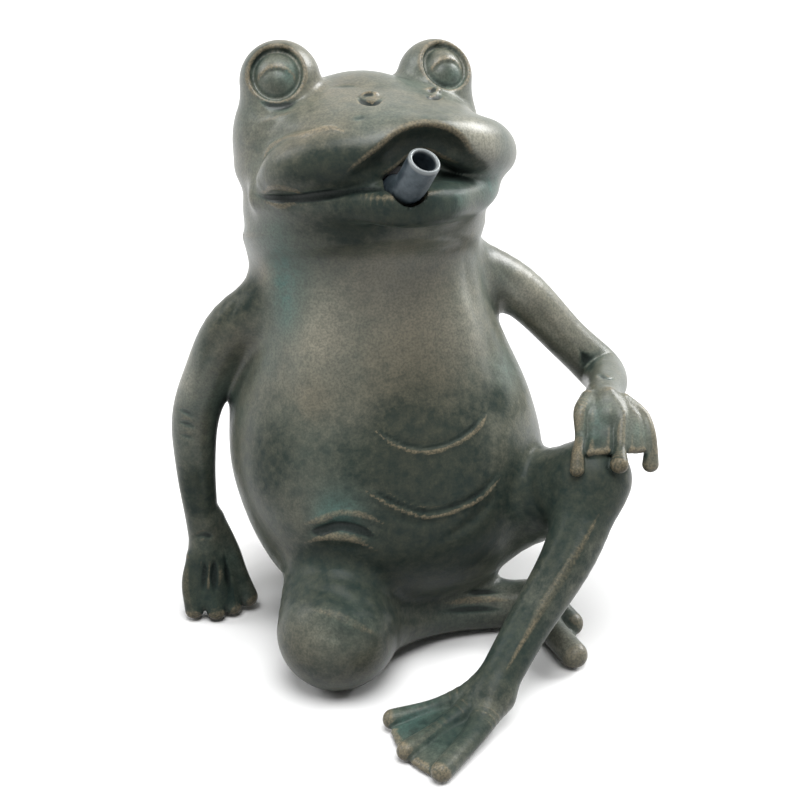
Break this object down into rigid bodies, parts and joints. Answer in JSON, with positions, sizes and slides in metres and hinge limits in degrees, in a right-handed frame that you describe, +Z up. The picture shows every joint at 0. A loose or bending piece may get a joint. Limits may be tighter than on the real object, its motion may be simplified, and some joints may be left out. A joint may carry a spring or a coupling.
{
  "type": "frog water spitter",
  "caption": "Seated frog garden ornament cast in bronze sections, with a bent water spout pipe in its mouth, an inner hose and a barbed inlet at its back.",
  "frame": {"origin": "on the ground under the seat, on the base plate's underside", "axes": "+Z up, the frog faces -Y, its own left side is +X"},
  "size_m": [0.1884, 0.2111, 0.2479],
  "materials": {
    "bronze": "dark patinated bronze with verdigris in the hollows and worn ridges",
    "pipe": "dull grey-blue weathered tube",
    "fittings": "satin brass",
    "steel": "stainless, satin",
    "rubber": "matt black",
    "hose": "smooth dark flexible hose"
  },
  "bodies": {
    "figure": {"torso_casting": "bronze", "head_casting": "bronze", "right_arm_casting": "bronze", "right_hand_casting": "bronze", "right_thigh_casting": "bronze", "right_shank_casting": "bronze", "right_foot_casting": "bronze", "left_arm_casting": "bronze", "left_hand_casting": "bronze", "left_thigh_casting": "bronze", "left_shank_casting": "bronze", "left_foot_casting": "bronze", "base_plate": "bronze", "right_shoulder_dowel": "steel", "left_shoulder_dowel": "steel", "right_hip_dowel": "steel", "left_hip_dowel": "steel", "right_knee_dowel": "steel", "left_knee_dowel": "steel", "right_wrist_dowel": "steel", "left_wrist_dowel": "steel", "right_ankle_dowel": "steel", "left_ankle_dowel": "steel", "base_screw_1": "steel", "base_screw_2": "steel", "base_screw_3": "steel", "base_screw_4": "steel", "upper_clip_band": "steel", "lower_clip_band": "steel", "neck_sleeve": "fittings", "inlet_bulkhead": "fittings", "inlet_locknut": "fittings", "inlet_elbow": "fittings", "spout_grommet": "rubber", "inlet_washer": "rubber", "inner_hose": "hose"},
    "spout": {"spout_pipe": "pipe"},
    "upper_worm": {"upper_clip_screw": "steel"},
    "lower_worm": {"lower_clip_screw": "steel"}
  },
  "joints": [
    {"name": "spout_turn", "type": "hinge", "parent": "figure", "child": "spout", "pos_m": [-0.01067, -0.03975, 0.20231], "axis": [-0.0921, 0.9522, -0.2913], "range_deg": [-15, 15]},
    {"name": "upper_worm_turn", "type": "hinge", "parent": "figure", "child": "upper_worm", "pos_m": [-0.0131, -0.0128, 0.20708], "axis": [0.9957, 0.0921, -0.0138], "continuous": true},
    {"name": "lower_worm_turn", "type": "hinge", "parent": "figure", "child": "lower_worm", "pos_m": [0.002, 0.0013, 0.0505], "axis": [1, 0, 0], "continuous": true}
  ]
}
